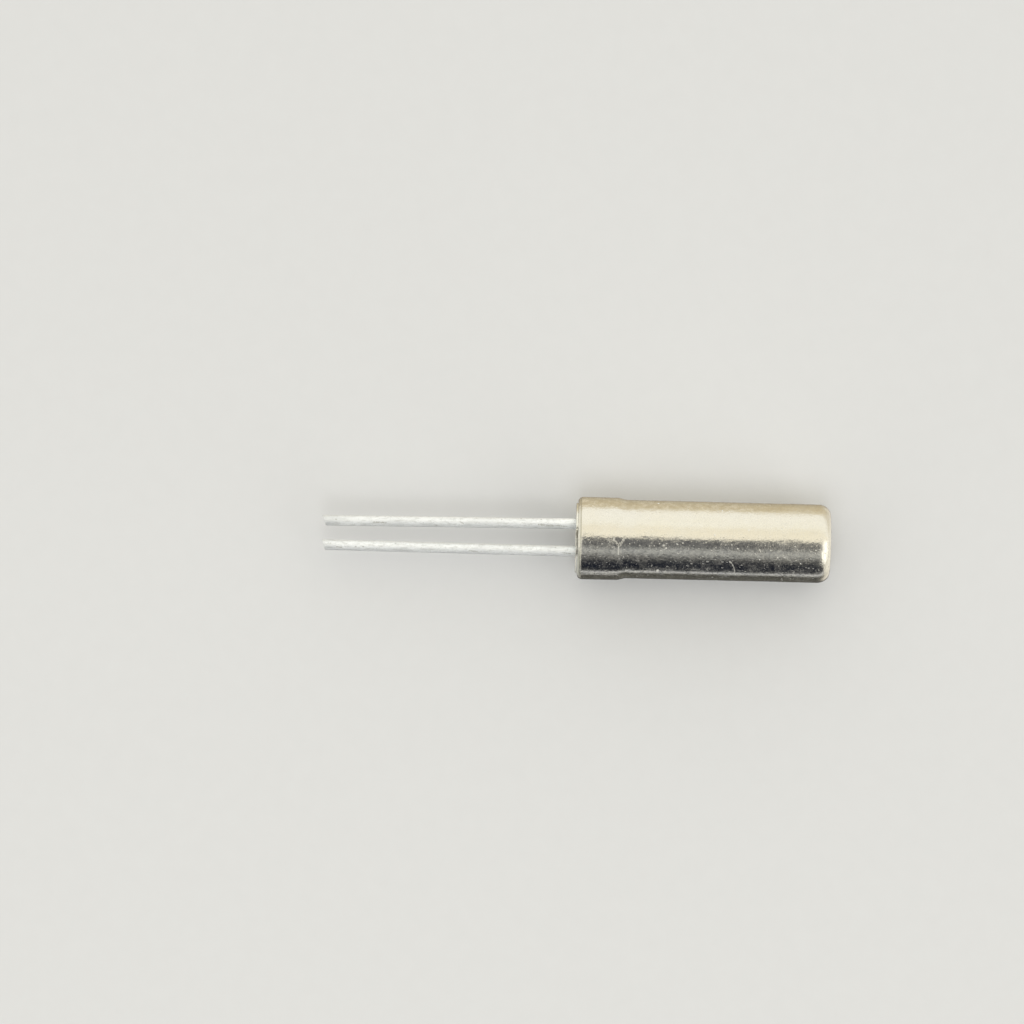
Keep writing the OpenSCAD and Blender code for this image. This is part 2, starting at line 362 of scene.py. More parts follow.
# ---------------------------------------------------------------- leads
def lead(name, spec, seed):
    seg = 72
    th = angles(seg)
    w, z = np.cos(th), np.sin(th)
    tin, lump = wave(seed, 9, 0.15, 1.1), wave(seed + 1, 9, 1.2, 4.5)
    slant = math.tan(spec["shear"] - spec["lean"])
    rng = np.random.RandomState(seed)
    verts, rings = [], []

    def ring_points(t, ww, zz):
        c, s = math.cos(spec["lean"]), math.sin(spec["lean"])
        x, y = t * c - ww * s, t * s + ww * c + spec["y"]
        rings.append(list(range(len(verts), len(verts) + len(t))))
        verts.extend(zip(x, y * spec["side"], zz))

    def surface(d):
        """Radius around the ring at distance d from the tip."""
        t = d - LEAD_LEN
        outside = float(smooth01(np.array((0.02 - t) / 0.1)))
        bumps = 0.0014 * tin(t, th) + 0.0009 * lump(t, th)
        return LEAD_R + np.minimum(bumps, 0.0006) * outside

    # sheared end face, from its middle outwards
    marks = rng.uniform(-1, 1, (7, seg))
    for i, f in enumerate((0.12, 0.3, 0.48, 0.64, 0.78, 0.88)):
        rr = (LEAD_R - 0.014) * f
        rough = 0.0016 * np.sin(z * 60 * f + w * 11) + 0.0007 * marks[i]
        pull = 0.010 * f * f * np.maximum(-np.sin(th + 0.4), 0) * 0
        ring_points(-LEAD_LEN - rr * w * slant + rough - pull + 0.0035, rr * w, rr * z)
    # rounded edge, drawn over on one side by the cutter
    for a in np.radians(np.linspace(0, 90, 7)):
        rr = LEAD_R - 0.014 + 0.014 * math.sin(a)
        drag = 0.016 * np.maximum(-w * spec["side"], 0) ** 1.5 * (1 - math.sin(a))
        ring_points(-LEAD_LEN - rr * w * slant + 0.014 * (1 - math.cos(a)) + drag, rr * w, rr * z)
    for d in np.concatenate([np.linspace(0.02, 0.4, 14)[:-1], np.linspace(0.4, 6.5, 236)]):
        rr = surface(float(d))
        fade = float(1 - smooth01(np.array(d / 0.4)))
        ring_points(-LEAD_LEN + d - rr * w * slant * fade, rr * w, rr * z)
    rr = np.full(seg, LEAD_R)
    for x in (0.7, 1.0, 1.3, 1.55, FLAT_X - 0.02, FLAT_X - 0.002):
        ring_points(np.full(seg, x), rr * w, rr * z)
    zc = np.minimum(LEAD_R * z, -FILM)
    for x in (FLAT_X, FLAT_X + 0.03, 1.8, 2.0, LEAD_IN - 0.02, LEAD_IN):
        ring_points(np.full(seg, x), LEAD_R * w, zc)
    faces = []
    for a, b in zip(rings, rings[1:]):
        for k in range(seg):
            j = (k + 1) % seg
            faces.append([a[k], a[j], b[j], b[k]])
    c, s = math.cos(spec["lean"]), math.sin(spec["lean"])
    tip = len(verts)
    verts.append((-LEAD_LEN * c + 0.0035, (-LEAD_LEN * s + spec["y"]) * spec["side"], 0.0))
    faces += [[tip, rings[0][(k + 1) % seg], rings[0][k]] for k in range(seg)]
    faces.append(list(rings[-1]))
    obj = make(name, verts, faces)
    return obj


lead_a = lead("tinned_lead_a", LEAD_A, 31)
lead_b = lead("tinned_lead_b", LEAD_B, 47)


# ---------------------------------------------------------------- materials
class Shader:
    """A material's nodes, in few words. Positions are in millimetres."""

    def __init__(self, name, base, metallic=1.0, roughness=0.2):
        self.m = bpy.data.materials.new(name)
        self.m.use_nodes = True
        self.t = self.m.node_tree
        self.t.nodes.clear()
        self.out = self.t.nodes.new("ShaderNodeOutputMaterial")
        self.p = self.t.nodes.new("ShaderNodeBsdfPrincipled")
        self.t.links.new(self.p.outputs[0], self.out.inputs[0])
        self.p.inputs["Base Color"].default_value = (*base, 1)
        self.p.inputs["Metallic"].default_value = metallic
        self.p.inputs["Roughness"].default_value = roughness
        coord = self.t.nodes.new("ShaderNodeTexCoord")
        self.pos = self.vec("SCALE", coord.outputs["Object"], scale=1000.0)
        apart = self.t.nodes.new("ShaderNodeSeparateXYZ")
        self.t.links.new(self.pos, apart.inputs[0])
        self.x, self.y, self.z = apart.outputs

    def put(self, socket, value):
        if isinstance(value, bpy.types.NodeSocket):
            self.t.links.new(value, socket)
        else:
            socket.default_value = value

    def vec(self, op, a, b=None, scale=None):
        n = self.t.nodes.new("ShaderNodeVectorMath")
        n.operation = op
        self.put(n.inputs[0], a)
        if b is not None:
            self.put(n.inputs[1], b)
        if scale is not None:
            self.put(n.inputs["Scale"], scale)
        return n.outputs["Value"] if op in ("LENGTH", "DISTANCE", "DOT_PRODUCT") else n.outputs["Vector"]

    def math(self, op, a, b=0.0, clamp=False):
        n = self.t.nodes.new("ShaderNodeMath")
        n.operation, n.use_clamp = op, clamp
        self.put(n.inputs[0], a)
        self.put(n.inputs[1], b)
        return n.outputs[0]

    def ramp(self, value, lo, hi, a=0.0, b=1.0, kind="SMOOTHSTEP"):
        n = self.t.nodes.new("ShaderNodeMapRange")
        n.interpolation_type = kind
        self.put(n.inputs["Value"], value)
        for key, v in (("From Min", lo), ("From Max", hi), ("To Min", a), ("To Max", b)):
            self.put(n.inputs[key], v)
        return n.outputs["Result"]

    def noise(self, stretch, scale, detail=2.0, rough=0.5, offset=(0, 0, 0)):
        v = self.vec("MULTIPLY", self.vec("ADD", self.pos, offset), stretch)
        n = self.t.nodes.new("ShaderNodeTexNoise")
        n.noise_dimensions = "3D"
        self.put(n.inputs["Vector"], v)
        n.inputs["Scale"].default_value = scale
        n.inputs["Detail"].default_value = detail
        n.inputs["Roughness"].default_value = rough
        return n.outputs[0]

    def voronoi(self, scale, stretch=(1, 1, 1), offset=(0, 0, 0)):
        v = self.vec("MULTIPLY", self.vec("ADD", self.pos, offset), stretch)
        n = self.t.nodes.new("ShaderNodeTexVoronoi")
        self.put(n.inputs["Vector"], v)
        n.inputs["Scale"].default_value = scale
        sep = self.t.nodes.new("ShaderNodeSeparateColor")
        self.t.links.new(n.outputs["Color"], sep.inputs[0])
        return n.outputs["Distance"], sep.outputs[0], sep.outputs[1]

    def specks(self, scale, share, size, soft=0.35, offset=(0, 0, 0), stretch=(1, 1, 1)):
        """Sparse round dots: 1 in the middle of a dot, 0 elsewhere. size is in cells."""
        d, pick, grow = self.voronoi(scale, stretch, offset)
        limit = self.ramp(grow, 0, 1, size * 0.5, size, "LINEAR")
        inner = self.math("MULTIPLY", limit, soft)
        dot = self.ramp(d, inner, limit, 1.0, 0.0)
        return self.math("MULTIPLY", dot, self.math("GREATER_THAN", pick, 1 - share))

    def stroke(self, a, b, width):
        """1 on the line from a to b (mm), fading to 0 at width."""
        a, b = Vector(a), Vector(b)
        d = b - a
        rel = self.vec("SUBTRACT", self.pos, tuple(a))
        t = self.math("DIVIDE", self.vec("DOT_PRODUCT", rel, tuple(d)), d.length_squared, clamp=True)
        near = self.vec("SUBTRACT", rel, self.vec("SCALE", tuple(d), scale=t))
        return self.ramp(self.vec("LENGTH", near), width * 0.25, width, 1.0, 0.0)

    def between(self, value, a, b, soft):
        """1 from a to b, fading to 0 over soft on both sides."""
        return self.math("MULTIPLY", self.ramp(value, a - soft, a + soft),
                         self.ramp(value, b - soft, b + soft, 1.0, 0.0))

    def add(self, *parts):
        """A weighted sum of (value, weight) pairs."""
        total = None
        for value, weight in parts:
            term = self.math("MULTIPLY", value, weight)
            total = term if total is None else self.math("ADD", total, term)
        return total

    def most(self, *values):
        total = values[0]
        for v in values[1:]:
            total = self.math("MAXIMUM", total, v)
        return total

    def mix(self, factor, a, b):
        n = self.t.nodes.new("ShaderNodeMix")
        n.data_type = "RGBA"
        self.put(n.inputs["Factor"], factor)
        self.put(n.inputs["A"], a if isinstance(a, bpy.types.NodeSocket) else (*a, 1))
        self.put(n.inputs["B"], b if isinstance(b, bpy.types.NodeSocket) else (*b, 1))
        return n.outputs["Result"]

    def bump(self, height_um, strength=1.0):
        n = self.t.nodes.new("ShaderNodeBump")
        n.inputs["Strength"].default_value = strength
        n.inputs["Distance"].default_value = 1e-6
        self.put(n.inputs["Height"], height_um)
        self.t.links.new(n.outputs["Normal"], self.p.inputs["Normal"])

    def use(self, obj):
        obj.data.materials.clear()
        obj.data.materials.append(self.m)


def on_can(x, y, r=None):
    """A point on the can's upper surface over (x, y)."""
    if r is None:
        r = float(shoulder(x, math.acos(max(min(y / BARREL_R, 1), -1)))) if x < 1.7 else BARREL_R
    return (x, y, math.sqrt(max(r * r - y * y, 0)))


def can_material():
    s = Shader("drawn_nickel_silver", (0.60, 0.582, 0.51), roughness=0.2)
    broad = s.noise((1, 1, 1), 1.1, 3.0, 0.5)
    mottle = s.noise((1, 0.8, 0.8), 7.0, 4.0, 0.6, (3, 1, 2))
    dimple = s.noise((1, 1, 1), 17.0, 2.5, 0.6, (7, 5, 1))
    grain = s.noise((1, 1, 1), 40.0, 3.0, 0.6)
    stain = s.noise((1, 1.2, 1.2), 6.5, 5.0, 0.72, (2, 6, 8))
    drawn = s.noise((34, 0.9, 0.9), 1.0, 4.0, 0.65)       # lines around the can
    short = s.noise((21, 4.2, 4.2), 1.0, 2.0, 0.6, (2, 9, 4))
    combed = s.noise((44, 2.6, 2.6), 1.0, 2.0, 0.6, (6, 1, 1))
    fine_lines = s.noise((95, 2.2, 2.2), 1.0, 3.0, 0.7, (0.3, 0, 0))
    patch = s.ramp(s.noise((0.8, 1.2, 1.2), 1.5, 3.0, 0.6, (8, 3, 6)), 0.38, 0.62, 0.50, 1.0)
    near_end = s.ramp(s.x, 3.7, 4.7, 0.15, 1.0)
    fewer = s.ramp(s.x, 1.2, 2.0, 0.35, 1.0)              # the mouth's end has fewer dimples
    pits = s.math("MULTIPLY", s.specks(8.5, 0.60, 0.27), fewer)
    tiny = s.specks(17.0, 0.35, 0.34, offset=(5, 2, 1))
    dust = s.math("MULTIPLY", s.specks(6.0, 0.30, 0.20, 0.2, offset=(1, 8, 3)), fewer)
    fleck = s.specks(13.0, 0.50, 0.30, 0.15, offset=(4, 2, 7))
    # painted shade: dark mottling laid over the -Y half of the top, where the can mirrors the dark side of the studio,
    # with no sharp edge, and not on the end
    drift = s.math("MULTIPLY", s.math("SUBTRACT", s.noise((0.8, 1, 1), 2.4, 3.0, 0.6, (5, 5, 2)), 0.5), 0.55)
    low = s.math("MULTIPLY", s.ramp(s.math("ADD", s.y, drift), 0.05, -0.20),
                 s.math("MULTIPLY", s.ramp(s.z, 0.10, 0.50), s.ramp(s.x, 5.95, 5.75)))
    cloudy = s.ramp(s.noise((1, 1, 1), 5.0, 3.0, 0.6, (9, 2, 5)), 0.46, 0.68, 0.0, 0.095)
    dusty = s.ramp(s.noise((1, 1, 1), 19.0, 3.0, 0.65, (2, 2, 7)), 0.50, 0.68, 0.0, 0.130)
    haze = s.math("ADD", cloudy, dusty)
    painted_mottle_fine = s.noise((1, 1, 1), 15.0, 3.0, 0.65, (8, 1, 4))
    painted_mottle_broad = s.noise((1, 1, 1), 6.0, 3.0, 0.6, (3, 7, 4))
    rubbed = s.noise((30, 3.0, 3.0), 1.0, 3.0, 0.6, (1, 7, 2))
    lint = s.math("MULTIPLY", s.specks(4.0, 0.18, 0.16, 0.6, offset=(9, 3, 7), stretch=(1.0, 0.55, 0.8)),
                  s.ramp(s.x, 1.0, 1.6))
    worn = s.ramp(s.noise((1, 1, 1), 24.0, 3.0, 0.6, (4, 4, 4)), 0.36, 0.62, 0.25, 1.0)
    scuff = s.math("MULTIPLY", s.most(
        s.stroke(on_can(0.91, -0.02), on_can(1.00, -0.14), 0.050),
        s.stroke(on_can(1.00, -0.145), on_can(1.05, -0.15), 0.046),
        s.stroke(on_can(1.14, 0.00), on_can(1.07, -0.14), 0.044),
        s.math("MULTIPLY", s.stroke(on_can(0.76, 0.00), on_can(0.86, -0.06), 0.075), 0.6),
    ), worn)
    drag = s.most(s.stroke(on_can(1.027, -0.19), on_can(1.022, -0.36), 0.024),
                  s.math("MULTIPLY", s.stroke(on_can(0.908, 0.03), on_can(0.91, -0.04), 0.024), 0.8),
                  s.math("MULTIPLY", s.stroke(on_can(1.035, -0.42), on_can(1.04, -0.47), 0.022), 0.5))
    scratch = s.math("MULTIPLY", s.most(
        s.stroke(on_can(3.70, -0.48), on_can(3.745, -0.53), 0.020),
        s.stroke(on_can(3.745, -0.53), on_can(3.785, -0.60), 0.019),
        s.stroke(on_can(3.785, -0.60), on_can(3.81, -0.68), 0.017),
        s.stroke(on_can(3.81, -0.68), on_can(3.815, -0.75), 0.014),
        s.stroke(on_can(4.38, -0.16), on_can(4.42, -0.23), 0.014),
        s.stroke((2.9, 0.5, -BARREL_R * 0.86), (3.9, 0.35, -BARREL_R * 0.93), 0.012),
        s.stroke((4.6, -0.92, 0.15), (5.1, -0.92, -0.15), 0.012),
    ), s.ramp(grain, 0.36, 0.50, 0.5, 1.0))
    base = s.mix(s.ramp(broad, 0.35, 0.7), (0.60, 0.582, 0.517), (0.605, 0.580, 0.500))
    base = s.mix(s.ramp(s.x, 2.6, 5.6), base, (0.598, 0.574, 0.496))
    base = s.mix(s.ramp(stain, 0.48, 0.74, 0.0, 0.35), base, (0.520, 0.498, 0.425))
    base = s.mix(s.ramp(stain, 0.46, 0.26, 0.0, 0.35), base, (0.655, 0.64, 0.58))
    # painted reflection along the far (+Y) flank: a warm, darker tint with lighter patches, most of all near the closed
    # end, where the can mirrors the lit ground
    painted_flank_tint = s.math("MULTIPLY", s.ramp(s.y, 0.68, 0.78), s.ramp(stain, 0.38, 0.60, 0.0, 0.85))
    base = s.mix(painted_flank_tint, base, (0.495, 0.460, 0.370))
    # painted reflection: lighter patches in the same flank band
    painted_flank_light = s.math("MULTIPLY", s.ramp(s.y, 0.72, 0.80), s.ramp(stain, 0.46, 0.34, 0.0, 0.6))
    base = s.mix(painted_flank_light, base, (0.690, 0.670, 0.610))
    # painted reflection: the flank's tint deepens towards the closed end
    base = s.mix(s.math("MULTIPLY", s.ramp(s.y, 0.70, 0.86), s.ramp(s.x, 3.4, 5.4, 0.0, 0.6)), base, (0.53, 0.49, 0.385))
    deep = s.ramp(s.y, -0.02, -0.10, 0.30, 1.0)
    base = s.mix(s.math("MULTIPLY", s.math("MULTIPLY", s.most(pits, tiny), deep), 0.45), base, (0.36, 0.40, 0.46))
    # painted shade: the lip's lower side is darkened, most of all in a narrow band, and the ring's front edge beside it
    # carries a painted highlight
    low_side = s.ramp(s.y, -0.22, -0.40)
    painted_lip_shade = s.math("MULTIPLY", s.math("MULTIPLY", s.between(s.x, 0.054, 0.112, 0.012), low_side), 0.80)
    base = s.mix(painted_lip_shade, base, (0.33, 0.335, 0.29))
    painted_lip_shade_core = s.math("MULTIPLY", s.math("MULTIPLY", s.between(s.x, 0.060, 0.086, 0.010), low_side), 0.60)
    base = s.mix(painted_lip_shade_core, base, (0.20, 0.205, 0.175))
    # a brown line where the lip's bend starts
    line = s.math("MULTIPLY", s.between(s.x, 0.098, 0.130, 0.010), s.ramp(s.y, 0.05, -0.15, 0.85, 0.20))
    base = s.mix(line, base, (0.39, 0.370, 0.300))
    streaks = s.math("MULTIPLY", near_end, s.ramp(rubbed, 0.47, 0.70, 0.0, 0.07))
    grey = s.most(s.math("MULTIPLY", dust, 0.85), s.math("MULTIPLY", fleck, 0.31), lint, s.math("MULTIPLY", drag, 0.50),
                  s.math("MULTIPLY", scuff, 0.24), s.math("MULTIPLY", scratch, 0.5))
    rubbed_edge = s.math("MULTIPLY", s.between(s.x, 0.116, 0.152, 0.012), s.ramp(s.y, -0.02, -0.12, 0.0, 0.15))
    grey = s.most(grey, s.math("ADD", haze, streaks), rubbed_edge)
    # painted shade: mottled darkening of the -Y half of the top
    base = s.mix(s.math("MULTIPLY", low, s.ramp(painted_mottle_fine, 0.44, 0.70, 0.0, 0.60)), base, (0.28, 0.275, 0.26))
    base = s.mix(s.math("MULTIPLY", low, s.ramp(painted_mottle_broad, 0.46, 0.68, 0.0, 0.46)), base, (0.33, 0.325, 0.305))
    base = s.mix(grey, base, (0.66, 0.65, 0.61))
    s.put(s.p.inputs["Base Color"], base)
    s.put(s.p.inputs["Metallic"], s.math("SUBTRACT", 1.0, s.math("MULTIPLY", grey, 0.9)))
    rough = s.add((mottle, 0.08), (fine_lines, 0.05), (drawn, 0.04), (grain, 0.05))
    rough = s.math("ADD", rough, 0.025)
    rough = s.math("ADD", rough, s.add((scuff, 0.22), (scratch, 0.2), (pits, 0.08), (tiny, 0.08), (grey, 0.45)))
    s.put(s.p.inputs["Roughness"], rough)
    calm = s.most(s.ramp(s.y, -0.62, -0.72, 1.0, 0.42), s.ramp(s.y, -0.84, -0.89, 0.42, 1.0))
    # the crest is rubbed smoother: its waves are lower, its mean height is the same
    waves = s.add((dimple, 5.6), (short, 3.2), (grain, 2.4))
    lower = s.most(s.ramp(s.y, 0.05, 0.11, 0.60, 1.0), s.ramp(s.y, -0.01, -0.08, 0.60, 1.0))
    waves = s.math("ADD", 5.6, s.math("MULTIPLY", s.math("SUBTRACT", waves, 5.6), lower))
    skin = s.math("MULTIPLY", waves, s.math("MULTIPLY", patch, calm))
    rolling = s.math("MULTIPLY", mottle, s.ramp(s.y, -0.10, -0.34))
    height = s.add((drawn, 0.6), (fine_lines, 0.15), (mottle, 0.8), (rolling, 2.6), (skin, 1.12),
                   (s.math("MULTIPLY", combed, near_end), 5.0),
                   (s.math("MULTIPLY", pits, deep), -7.5), (s.math("MULTIPLY", tiny, deep), -4.0), (scuff, -0.8), (drag, -1.5), (scratch, -2.0), (dust, 2.0))
    s.bump(height)
    return s


def ring_material():
    s = Shader("plated_ring_metal", (0.66, 0.65, 0.59), roughness=0.24)
    mottle = s.noise((1, 1, 1), 6.0, 4.0, 0.6)
    grain = s.noise((1, 1, 1), 45.0, 3.0, 0.6)
    radial = s.vec("LENGTH", s.vec("MULTIPLY", s.pos, (0, 1, 1)))
    comb = s.t.nodes.new("ShaderNodeCombineXYZ")
    s.put(comb.inputs[0], s.math("MULTIPLY", radial, 70.0))
    turned = s.t.nodes.new("ShaderNodeTexNoise")
    turned.inputs["Scale"].default_value = 1.0
    turned.inputs["Detail"].default_value = 3.0
    s.put(turned.inputs["Vector"], comb.outputs[0])
    dirt = s.noise((1, 1, 1), 9.0, 4.0, 0.65, (2, 7, 1))
    base = s.mix(s.ramp(dirt, 0.52, 0.72), (0.66, 0.65, 0.59), (0.50, 0.49, 0.42))
    # painted shade: dark patches on the edge beside the leads, where the gaps between ring and leads lie in shadow, and
    # a painted highlight on the lower side
    ragged = s.ramp(s.noise((1, 1, 1), 16.0, 3.0, 0.6, (3, 3, 9)), 0.40, 0.52)
    edge = s.ramp(radial, RING_BORE + 0.17, RING_BORE + 0.20)
    marks = s.most(s.between(s.y, -0.02, 0.27, 0.05), s.between(s.y, -0.45, -0.30, 0.03),
                   s.math("MULTIPLY", s.between(s.y, -0.33, 0.0, 0.04), 0.6))
    marks = s.math("MULTIPLY", s.math("MULTIPLY", marks, edge), s.math("MULTIPLY", ragged, 0.9))
    # painted highlight: a pale, matt strip along the front edge on the lower side, standing for the edge's bright
    # reflection
    tin = s.math("MULTIPLY", s.ramp(s.x, 0.008, 0.018), s.ramp(s.y, -0.34, -0.46))
    # painted shade: the gap shadows beside the leads
    base = s.mix(marks, base, (0.16, 0.155, 0.13))
    base = s.mix(tin, base, (0.82, 0.82, 0.78))
    s.put(s.p.inputs["Base Color"], base)
    s.put(s.p.inputs["Metallic"], s.math("SUBTRACT", 1.0, s.math("MULTIPLY", tin, 0.75)))
    s.put(s.p.inputs["Roughness"], s.math("ADD", s.add((mottle, 0.16), (grain, 0.06), (turned.outputs[0], 0.06),
                                                       (tin, 0.3), (marks, 0.2)), 0.10))
    s.bump(s.add((turned.outputs[0], 0.5), (grain, 0.25), (mottle, 0.5), (marks, -1.5)))
    return s


def lead_material(name, spec, nicks):
    s = Shader(name, (0.77, 0.79, 0.79), metallic=0.35, roughness=0.5)
    flow = s.noise((0.5, 5, 5), 2.2, 4.0, 0.6)
    streak = s.noise((1.3, 16, 16), 2.0, 4.0, 0.65, (3, 0, 0))
    grain = s.noise((1, 1, 1), 34.0, 4.0, 0.65)
    frost = s.noise((0.8, 1, 1), 15.0, 3.0, 0.65, (5, 1, 9))
    cloud = s.noise((1.0, 2.0, 2.0), 4.2, 4.0, 0.65, (2, 2, 5))
    spots = s.specks(9.0, 0.30, 0.24, stretch=(0.7, 1, 1))
    dirt = s.noise((1.2, 6, 6), 1.6, 5.0, 0.7, (1, 4, 2))
    parts = [s.stroke(a, b, w) for a, b, w in nicks]
    nick = s.most(*parts) if len(parts) > 1 else parts[0]
    nick = s.math("MULTIPLY", nick, s.ramp(grain, 0.36, 0.58, 0.1, 1.0))
    base = s.mix(s.ramp(dirt, 0.50, 0.74), (0.775, 0.796, 0.803), (0.60, 0.62, 0.615))
    base = s.mix(s.ramp(frost, 0.50, 0.66, 0.0, 0.65), base, (0.56, 0.575, 0.57))
    base = s.mix(s.ramp(cloud, 0.50, 0.70, 0.0, 0.50), base, (0.62, 0.635, 0.63))
    tone = s.noise((0.5, 1.0, 1.0), 1.9, 2.0, 0.5, (7, 2, 3))
    base = s.mix(s.ramp(tone, 0.44, 0.62, 0.0, 0.34), base, (0.60, 0.615, 0.62))
    base = s.mix(s.math("MULTIPLY", nick, 0.80), base, (0.33, 0.325, 0.29))
    brushed = s.noise((5.0, 24, 24), 1.0, 3.0, 0.6, (6, 3, 1))
    base = s.mix(s.ramp(brushed, 0.50, 0.68, 0.0, 0.6), base, (0.52, 0.53, 0.52))
    base = s.mix(s.math("MULTIPLY", spots, 0.7), base, (0.38, 0.385, 0.365))
    # painted light: the tin is lifted beside the header, against the shade the can throws there, and is a little duller
    # at the cut tips
    painted_light_and_tip_tone = s.math("ADD", s.ramp(s.x, -1.7, -1.0, 0.955, 1.01), s.ramp(s.x, -0.80, -0.12, 0.0, 0.23))
    painted_light_and_tip_tone = s.math("ADD", painted_light_and_tip_tone, s.ramp(s.x, -5.55, -5.95, 0.0, -0.08))
    # painted light: lead b is made a little brighter than lead a
    painted_light_and_tip_tone = s.math("ADD", painted_light_and_tip_tone, 0.0 if spec["side"] > 0 else 0.045)
    base = s.vec("MINIMUM", s.vec("MULTIPLY", base, painted_light_and_tip_tone), (0.98, 0.98, 0.98))
    s.put(s.p.inputs["Base Color"], base)
    s.put(s.p.inputs["Metallic"], s.ramp(frost, 0.35, 0.60, 0.50, 0.22))
    s.put(s.p.inputs["Roughness"], s.math("ADD", s.add((flow, 0.16), (streak, 0.12), (grain, 0.08), (nick, 0.1)), 0.34))
    s.bump(s.add((flow, 2.0), (streak, 2.0), (grain, 3.0), (frost, 5.0), (cloud, 3.0), (spots, -3.5), (nick, -2.5)))
    return s


def lead_point(spec, x, across):
    """A point on the lead's upper side at x, across its axis by that share of its radius."""
    w = across * LEAD_R
    y = lead_y(spec, x) + w
    return (x, y, math.sqrt(LEAD_R ** 2 - w * w))


def glass_material():
    s = Shader("green_sealing_glass", (0.035, 0.06, 0.052), metallic=0.0, roughness=0.09)
    cloud = s.noise((1, 1, 1), 7.0, 4.0, 0.6)
    bubbles = s.specks(14.0, 0.22, 0.26)
    s.put(s.p.inputs["Base Color"], s.mix(s.ramp(cloud, 0.4, 0.7), (0.030, 0.052, 0.046), (0.075, 0.105, 0.085)))
    s.put(s.p.inputs["Roughness"], s.add((cloud, 0.12), (bubbles, 0.2)))
    s.p.inputs["IOR"].default_value = 1.52
    s.p.inputs["Coat Weight"].default_value = 0.4
    s.p.inputs["Coat Roughness"].default_value = 0.05
    s.bump(s.add((cloud, 1.5), (bubbles, -1.5)))
    return s


def quartz_material():
    s = Shader("etched_quartz", (0.90, 0.94, 0.955), metallic=0.0, roughness=0.12)
    etch = s.noise((1, 1, 1), 24.0, 4.0, 0.6)
    lines = s.noise((2, 22, 2), 1.0, 3.0, 0.6)
    s.put(s.p.inputs["Base Color"], s.mix(s.ramp(etch, 0.35, 0.7), (0.90, 0.94, 0.955), (0.80, 0.86, 0.885)))
    s.put(s.p.inputs["Roughness"], s.add((etch, 0.22), (lines, 0.08)))
    s.p.inputs["IOR"].default_value = 1.544
    s.p.inputs["Transmission Weight"].default_value = 0.75
    s.bump(s.add((etch, 0.5), (lines, 0.4)))
    return s


def gold_material(name, a, b, rough):
    s = Shader(name, a, roughness=rough)
    film = s.noise((1, 1, 1), 9.0, 3.0, 0.5)
    grain = s.noise((1, 1, 1), 60.0, 3.0, 0.6)
    s.put(s.p.inputs["Base Color"], s.mix(s.ramp(film, 0.35, 0.7), a, b))
    s.put(s.p.inputs["Roughness"], s.math("ADD", s.add((grain, 0.14), (film, 0.08)), rough * 0.5))
    s.bump(s.add((grain, 0.12), (film, 0.2)))
    return s


def solder_material():
    s = Shader("dull_solder", (0.66, 0.67, 0.68), roughness=0.42)
    frost = s.noise((1, 1, 1), 16.0, 5.0, 0.7)
    cell, pick, _ = s.voronoi(13.0)
    s.put(s.p.inputs["Base Color"], s.mix(s.ramp(frost, 0.4, 0.7), (0.68, 0.69, 0.70), (0.50, 0.505, 0.51)))
    s.put(s.p.inputs["Roughness"], s.math("ADD", s.add((frost, 0.3), (pick, 0.12)), 0.2))
    s.bump(s.add((frost, 1.5), (cell, 0.8)))
    return s


can_material().use(can)
ring_material().use(header_ring)
glass_material().use(glass_seal)
lead_material("tinned_wire_a", LEAD_A, [
    (lead_point(LEAD_A, -4.86, -0.20), lead_point(LEAD_A, -4.56, -0.32), 0.030),
    (lead_point(LEAD_A, -0.90, -0.25), lead_point(LEAD_A, -0.55, -0.45), 0.026),
    (lead_point(LEAD_A, -0.50, -0.35), lead_point(LEAD_A, -0.20, -0.55), 0.022),
    (lead_point(LEAD_A, -2.78, 0.05), lead_point(LEAD_A, -2.70, -0.25), 0.020),
]).use(lead_a)
lead_material("tinned_wire_b", LEAD_B, [
    (lead_point(LEAD_B, -5.72, -0.35), lead_point(LEAD_B, -5.60, -0.45), 0.022),
    (lead_point(LEAD_B, -2.55, -0.40), lead_point(LEAD_B, -2.35, -0.50), 0.018),
    (lead_point(LEAD_B, -0.30, -0.30), lead_point(LEAD_B, -0.12, -0.50), 0.022),
]).use(lead_b)
quartz_material().use(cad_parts["quartz_fork"])
gold = gold_material("gold_film", (0.87, 0.66, 0.30), (0.80, 0.60, 0.28), 0.16)
gold.use(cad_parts["electrode_a"])
gold.use(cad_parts["electrode_b"])
gold_material("thick_gold", (0.84, 0.64, 0.30), (0.62, 0.46, 0.24), 0.3).use(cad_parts["trim_weights"])
solder = solder_material()
solder.use(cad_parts["solder_joint_a"])
solder.use(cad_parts["solder_joint_b"])

# ---------------------------------------------------------------- what rides and what is replaced
for obj, node, slot in (
    (can, "can", "can"),
    (header_ring, "header_ring", "header_ring"),
    (glass_seal, "glass_seal", "glass_seal"),
    (lead_a, "lead_a", "leads"),
    (lead_b, "lead_b", "leads"),
):
    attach(obj, "root")
    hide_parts(node)

# ---------------------------------------------------------------- floor
floor_z = min(CAD_BOX[0][2], -MOUTH_R * MM)
half = 0.35
mesh = bpy.data.meshes.new("floor")
mesh.from_pydata([(-half, -half, floor_z), (half, -half, floor_z), (half, half, floor_z), (-half, half, floor_z)],
                 [], [(0, 1, 2, 3)])
floor = bpy.data.objects.new("floor", mesh)
bpy.context.scene.collection.objects.link(floor)
f = Shader("pale_paper", (0.64, 0.645, 0.65), metallic=0.0, roughness=0.9)
paper = f.noise((1, 1, 1), 2.2, 4.0, 0.6)
f.put(f.p.inputs["Base Color"], f.mix(paper, (0.565, 0.572, 0.580), (0.585, 0.592, 0.600)))
f.p.inputs["Specular IOR Level"].default_value = 0.1
f.use(floor)
floor.visible_glossy = False

